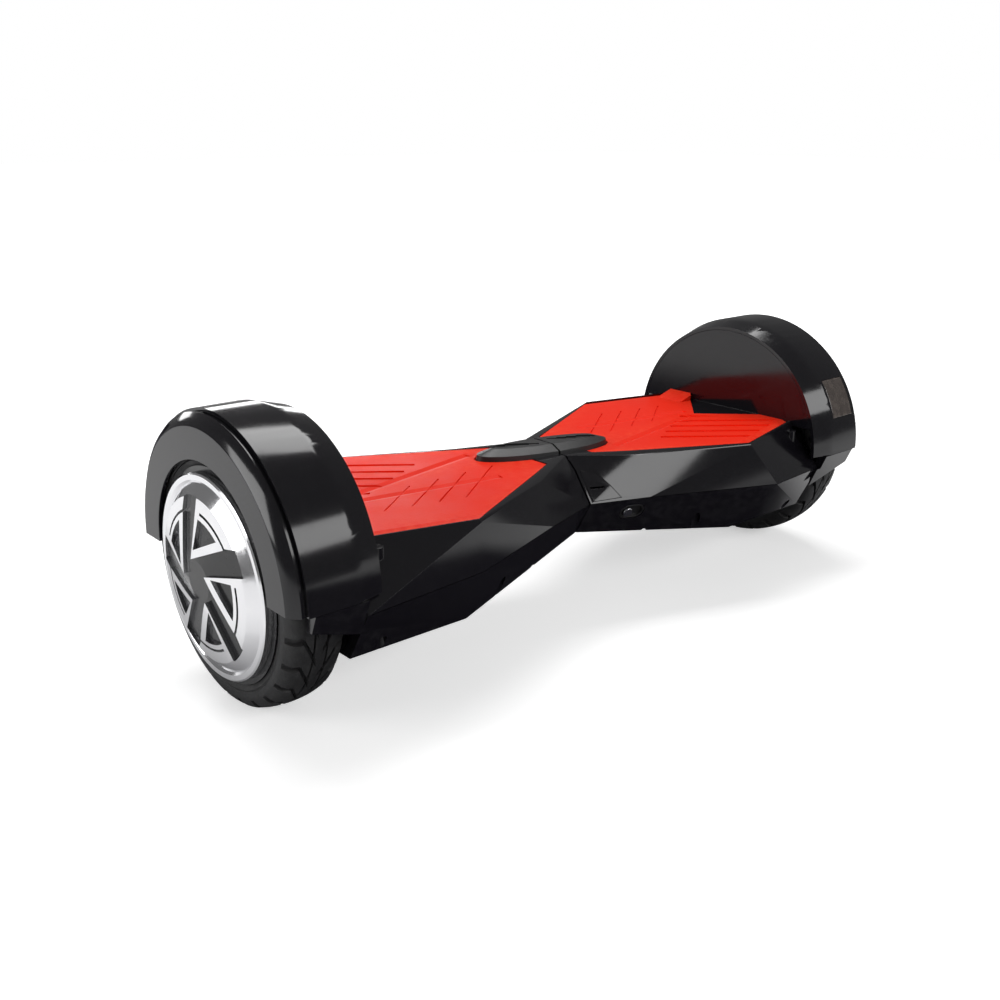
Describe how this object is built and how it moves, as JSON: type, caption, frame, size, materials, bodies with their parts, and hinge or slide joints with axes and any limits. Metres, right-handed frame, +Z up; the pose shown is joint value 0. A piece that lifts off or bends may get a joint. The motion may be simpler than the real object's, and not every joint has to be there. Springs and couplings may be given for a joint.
{
  "type": "self balancing hoverboard",
  "caption": "Two-wheel self balancing board: faceted black shells, red foot pads and arched fenders over hub motor wheels, hinged at the waist.",
  "frame": {"origin": "on the ground under the middle of the board", "axes": "+X along the wheel axle to the rider's right, -Y the front, +Z up"},
  "size_m": [0.665, 0.2358, 0.2225],
  "materials": {
    "gloss_black_plastic": "injection moulded, gloss black",
    "red_pad_rubber": "satin red-orange rubber",
    "satin_black_plastic": "satin black",
    "smoked_lens": "smoked clear plastic",
    "machined_steel": "turned steel",
    "laminated_steel": "stacked lamination",
    "copper_wire": "enamelled copper windings",
    "cast_aluminium": "die cast, as cast",
    "black_screws": "black oxide steel",
    "circuit_board": "green solder mask",
    "tyre_rubber": "black tyre rubber",
    "rim_aluminium": "machined aluminium",
    "black_hub_paint": "black painted aluminium casting",
    "magnet_plating": "nickel plated",
    "chrome_cover": "chrome plated plastic",
    "white_nylon": "natural nylon",
    "battery_wrap": "blue shrink wrap",
    "brushed_button": "satin chrome",
    "soft_black_rubber": "soft black rubber"
  },
  "bodies": {
    "left_half": {"left_top_shell": "gloss_black_plastic", "left_bottom_shell": "gloss_black_plastic", "left_waist_panel": "gloss_black_plastic", "left_foot_pad": "red_pad_rubber", "left_pivot_cover": "satin_black_plastic", "left_fender": "gloss_black_plastic", "left_fender_side_ring": "gloss_black_plastic", "left_fender_lamp_lens": "smoked_lens", "left_motor_axle": "machined_steel", "left_stator_core": "laminated_steel", "left_stator_windings": "copper_wire", "left_axle_clamp": "cast_aluminium", "left_screws": "black_screws", "left_gyro_board": "circuit_board", "left_chassis": "cast_aluminium", "pivot_tube": "machined_steel", "pivot_circlip": "machined_steel", "battery_pack": "battery_wrap", "battery_strap": "machined_steel", "charge_housing": "satin_black_plastic", "charge_socket": "satin_black_plastic", "dust_cap_pin": "machined_steel"},
    "right_half": {"right_top_shell": "gloss_black_plastic", "right_bottom_shell": "gloss_black_plastic", "right_waist_panel": "gloss_black_plastic", "right_foot_pad": "red_pad_rubber", "right_pivot_cover": "satin_black_plastic", "right_fender": "gloss_black_plastic", "right_fender_side_ring": "gloss_black_plastic", "right_fender_lamp_lens": "smoked_lens", "right_motor_axle": "machined_steel", "right_stator_core": "laminated_steel", "right_stator_windings": "copper_wire", "right_axle_clamp": "cast_aluminium", "right_screws": "black_screws", "right_gyro_board": "circuit_board", "right_chassis": "cast_aluminium", "pivot_bush": "white_nylon", "main_board": "circuit_board", "button_housing": "satin_black_plastic"},
    "left_wheel": {"left_tyre": "tyre_rubber", "left_hub_drum": "black_hub_paint", "left_hub_inner_cover": "rim_aluminium", "left_hub_outer_cover": "black_hub_paint", "left_hub_bearings": "machined_steel", "left_magnet_ring": "magnet_plating", "left_wheel_cover": "chrome_cover"},
    "right_wheel": {"right_tyre": "tyre_rubber", "right_hub_drum": "black_hub_paint", "right_hub_inner_cover": "rim_aluminium", "right_hub_outer_cover": "black_hub_paint", "right_hub_bearings": "machined_steel", "right_magnet_ring": "magnet_plating", "right_wheel_cover": "chrome_cover"},
    "power_button": {"power_button": "brushed_button"},
    "dust_cap": {"dust_cap": "soft_black_rubber"},
    "left_front_plunger": {"left_front_plunger": "white_nylon"},
    "left_rear_plunger": {"left_rear_plunger": "white_nylon"},
    "right_front_plunger": {"right_front_plunger": "white_nylon"},
    "right_rear_plunger": {"right_rear_plunger": "white_nylon"}
  },
  "joints": [
    {"name": "body_twist", "type": "hinge", "parent": "left_half", "child": "right_half", "pos_m": [0, 0, 0.1015], "axis": [1, 0, 0], "range_deg": [-12, 12]},
    {"name": "left_wheel_spin", "type": "hinge", "parent": "left_half", "child": "left_wheel", "pos_m": [-0.2915, 0, 0.1015], "axis": [1, 0, 0], "continuous": true},
    {"name": "right_wheel_spin", "type": "hinge", "parent": "right_half", "child": "right_wheel", "pos_m": [0.2915, 0, 0.1015], "axis": [1, 0, 0], "continuous": true},
    {"name": "power_button_press", "type": "slide", "parent": "right_half", "child": "power_button", "axis": [0.2556, 0.8643, 0.4331], "range_m": [0, 0.0012], "stiffness_N_per_m": 600, "springref_m": -0.001},
    {"name": "dust_cap_flip", "type": "hinge", "parent": "left_half", "child": "dust_cap", "pos_m": [-0.05387, 0.06673, 0.08687], "axis": [0.091, 0.4245, 0.9008], "range_deg": [0, 110]},
    {"name": "left_front_plunger_press", "type": "slide", "parent": "left_half", "child": "left_front_plunger", "axis": [0, 0, -1], "range_m": [0, 0.002], "stiffness_N_per_m": 500, "springref_m": -0.001},
    {"name": "left_rear_plunger_press", "type": "slide", "parent": "left_half", "child": "left_rear_plunger", "axis": [0, 0, -1], "range_m": [0, 0.002], "stiffness_N_per_m": 500, "springref_m": -0.001},
    {"name": "right_front_plunger_press", "type": "slide", "parent": "right_half", "child": "right_front_plunger", "axis": [0, 0, -1], "range_m": [0, 0.002], "stiffness_N_per_m": 500, "springref_m": -0.001},
    {"name": "right_rear_plunger_press", "type": "slide", "parent": "right_half", "child": "right_rear_plunger", "axis": [0, 0, -1], "range_m": [0, 0.002], "stiffness_N_per_m": 500, "springref_m": -0.001}
  ]
}
